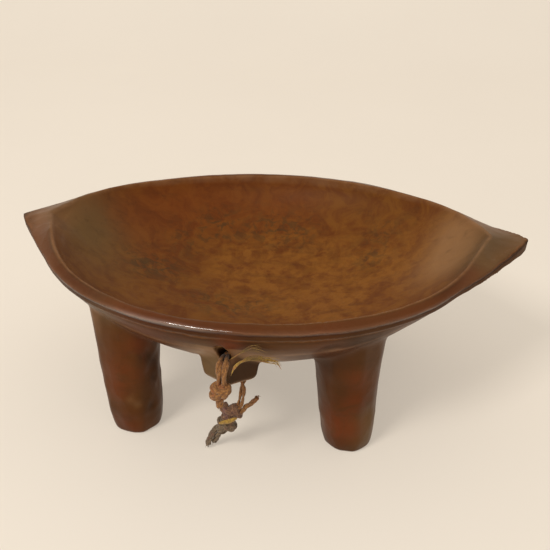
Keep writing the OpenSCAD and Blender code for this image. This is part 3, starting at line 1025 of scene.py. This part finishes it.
# Painted sheen at the basin's right end and on the left ear, and two pale scars on the front-left leg.
PAINTED_SHEEN_AND_SCARS = [(188, 20, 155, 34, 0.9), (174, 0, 143, 36, 0.7), (182, 55, 158, 26, 0.5), (-112, -126, 43, 4, 0.3),
        (-106, -124, 37, 4, 0.3), (-230, -4, 168, 26, 0.5)]
# Olive wood, and one patch on the lug's left face painted lighter as its lit side.
OLIVE_AND_LIT_SIDE = [(-195, 12, 160, 48, 0.6), (-170, -24, 140, 50, 0.35), (-189, 39, 156, 40, 0.6),
         (-123, -140, 142, 18, 0.9), (110, -116, 36, 16, 0.8), (110, -113, 12, 14, 0.7),
         (232, -4, 173, 44, 1.0), (205, -44, 171, 30, 0.8), (-27, -165, 130, 16, 0.7)]
RED = [(-118, -129, 77, 20, 0.5), (-121, -121, 10, 20, 0.8), (-125, -125, 52, 13, 0.7),
       (100, -127, 89, 12, 0.6), (99, -125, 58, 14, 0.7), (95, -124, 28, 16, 0.7), (80, -123, 33, 18, 0.6),
       (-6, -174, 144, 13, 1.0), (-97, -120, 104, 13, 1.0), (-75, -162, 160, 50, 0.5),
       (-171, 64, 146, 30, 0.5), (-137, 107, 142, 46, 0.7), (-133, 41, 117, 26, 0.4),
       (-76, 141, 137, 50, 0.7), (5, 149, 131, 44, 0.7), (190, -66, 168, 14, 0.5)]
POLISH = [(-95, -160, 158, 35, 0.7), (-55, -172, 158, 35, 1.0), (60, -172, 158, 60, 0.25),
          (150, -120, 160, 50, 0.3), (-175, -100, 162, 50, 0.3)]
# Dark patches in the gouges of the front-left leg, over the right ear and by the lug, and painted shade at
# the top of the front-right leg under the rim's band.
DARK_PATCHES_AND_SHADE = [(-40, -160, 134, 6, 0.6), (-94, -116, 88, 9, 0.6), (-90, -109, 76, 10, 0.8),
         (-91, -110, 60, 7, 0.8), (-94, -115, 31, 5, 0.7), (218, -14, 172, 34, 0.5),
         (190, -66, 168, 26, 0.3), (95, -150, 140, 12, 0.7), (112, -139, 138, 11, 0.7),
         (76, -157, 137, 8, 0.7)]


# The lug's faces, which are painted by the way they face: a painted highlight on the bevel that faces down,
# the faces to the left painted lighter as the lit side, and painted shade on those to the right.
LUG_FACES = [(-8, -155, 118, 34, 2.0)]
LUG_FACES_TOP_Z = 138

# The field is probed this far off the surface, where it grows by less above a crevice or behind an edge.
PROBE = 3
PROBE_CLEAR, PROBE_FADE = 2.7, 1.5


def short_of_probe(growth):
    """0 where the field grows by PROBE_CLEAR or more over the probe, and 1 where by PROBE_FADE less."""
    return np.clip((PROBE_CLEAR - growth) / PROBE_FADE, 0, 1)


def make_carved_body():
    low, high = BODY_LOW * (1, 1, 0) - GRID_MARGIN_LOW, BODY_HIGH + GRID_MARGIN_HIGH
    points, faces = surface_net(form, low, high, GRID_STEP)
    points = settle(points, faces, form, SETTLE_ROUNDS)
    points, faces = fewer_triangles(points, faces)
    for _ in range(CARVE_ROUNDS):
        points = put_on_surface(points, carved)
    points[:, 2] = np.maximum(points[:, 2], 0)
    normals = gradient(carved, points)
    normals /= np.linalg.norm(normals, axis=1)[:, None]

    x, y, z = points.T
    in_basin = inside_basin(x, y, z) * (basin_gauge(x, y) < 1.01)
    outward = form(points + PROBE * normals) - form(points)
    inward = form(points) - form(points - PROBE * normals)
    on_lug = blobs(points, LUG_FACES) * (rim_gauge(x, y) < 0.985) * (z < LUG_FACES_TOP_Z)
    across, up = normals[:, 0], normals[:, 2]
    attributes = {
        "warm": in_basin,
        "amber": in_basin * blobs(points, AMBER),
        "stain": in_basin * blobs(points, STAINS),
        # Painted sheen and scars, and a painted highlight on the lug's faces that turn down at its front.
        "painted_sheen_and_scars": blobs(points, PAINTED_SHEEN_AND_SCARS) + 1.2 * on_lug * np.clip(-2 * up - 0.4, 0, 1) * (y < -140),
        # Olive wood, with the lug's faces that turn left painted lighter as its lit side.
        "olive_and_lit_side": blobs(points, OLIVE_AND_LIT_SIDE) + on_lug * np.clip(-3 * across, 0, 1),
        "red": blobs(points, RED) + (1 - in_basin) * np.clip(0.35 * soft_noise(points, 38), 0, 1),
        # Darker in crevices and the listed dark patches, and painted shade on the lug's faces that turn to
        # the right.
        "dark_marks_and_shade": (short_of_probe(outward) + blobs(points, DARK_PATCHES_AND_SHADE)
                 + 0.8 * on_lug * np.clip(4 * across - 0.6, 0, 1) * (up > -0.5)),
        "edge": short_of_probe(inward),
        "polish": blobs(points, POLISH),
        "crest": np.clip((basin_gauge(x, y) - 1) * 0.5 * (BASIN_X + BASIN_Y), -20, 20),
        "ridge": np.clip(rim_height(x) - z, -20, 40),
    }
    body = mesh_object("carved_body", points, faces.tolist(), WOOD, attributes)
    body.data.normals_split_custom_set_from_vertices(normals.tolist())
    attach(body, "carved_body")
    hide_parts("bowl", "lug", "leg_front_left", "leg_front_right", "leg_back_left", "leg_back_right")


make_carved_body()


# ---------------------------------------------------------------- floor and light

FLOOR_DARK, FLOOR_LIGHT = srgb(185, 177, 166), srgb(190, 182, 171)
FLOOR_GLOW, GLOW_STRENGTH = srgb(255, 243, 226), 0.37

# The backdrop, in metres: a floor, a curve and a wall.
FLOOR_FRONT, CURVE_START, CURVE_RADIUS = -3, 1.2, 0.8
WALL_TOP, BACKDROP_HALF_WIDTH = 4, 4

SKY, SKY_STRENGTH = srgb(255, 250, 243), 0.67


def backdrop_material():
    m = Material("backdrop")
    tone = m.noise(3, 2, 0.5)
    m.set(Base_Color=m.mix(tone, FLOOR_DARK, FLOOR_LIGHT), Roughness=0.7, Specular_IOR_Level=0.1,
          Emission_Color=FLOOR_GLOW, Emission_Strength=GLOW_STRENGTH)
    return m.material


def make_backdrop():
    """A floor that curves up into a wall behind the bowl."""
    profile = [(FLOOR_FRONT, 0), (CURVE_START, 0)]
    profile += [(CURVE_START + CURVE_RADIUS * math.sin(turn), CURVE_RADIUS - CURVE_RADIUS * math.cos(turn))
                for turn in np.linspace(0, math.pi / 2, 16)[1:]]
    profile.append((CURVE_START + CURVE_RADIUS, WALL_TOP))
    sides = (-BACKDROP_HALF_WIDTH, BACKDROP_HALF_WIDTH)
    points = [(x / MM, y / MM, z / MM) for y, z in profile for x in sides]
    faces = [(i, i + 1, i + 3, i + 2) for i in range(0, len(points) - 2, 2)]
    mesh_object("backdrop", points, faces, backdrop_material())


def make_light(name, location, aim, size, power, colour):
    data = bpy.data.lights.new(name, "AREA")
    data.size = size
    data.energy = power
    data.color = colour
    light = bpy.data.objects.new(name, data)
    bpy.context.scene.collection.objects.link(light)
    light.location = location
    light.rotation_mode = "QUATERNION"
    light.rotation_quaternion = (Vector(aim) - Vector(location)).to_track_quat("-Z", "Y")


def make_world():
    world = bpy.data.worlds.new("studio")
    world.use_nodes = True
    background = world.node_tree.nodes["Background"]
    background.inputs["Color"].default_value = (*SKY, 1)
    background.inputs["Strength"].default_value = SKY_STRENGTH
    bpy.context.scene.world = world
    bpy.context.scene.view_settings.view_transform = "Standard"


make_backdrop()
make_light("key", location=(-1.2, -2.0, 2.6), aim=(0, 0, 0.1), size=0.95, power=54, colour=(1, 0.97, 0.92))
make_world()
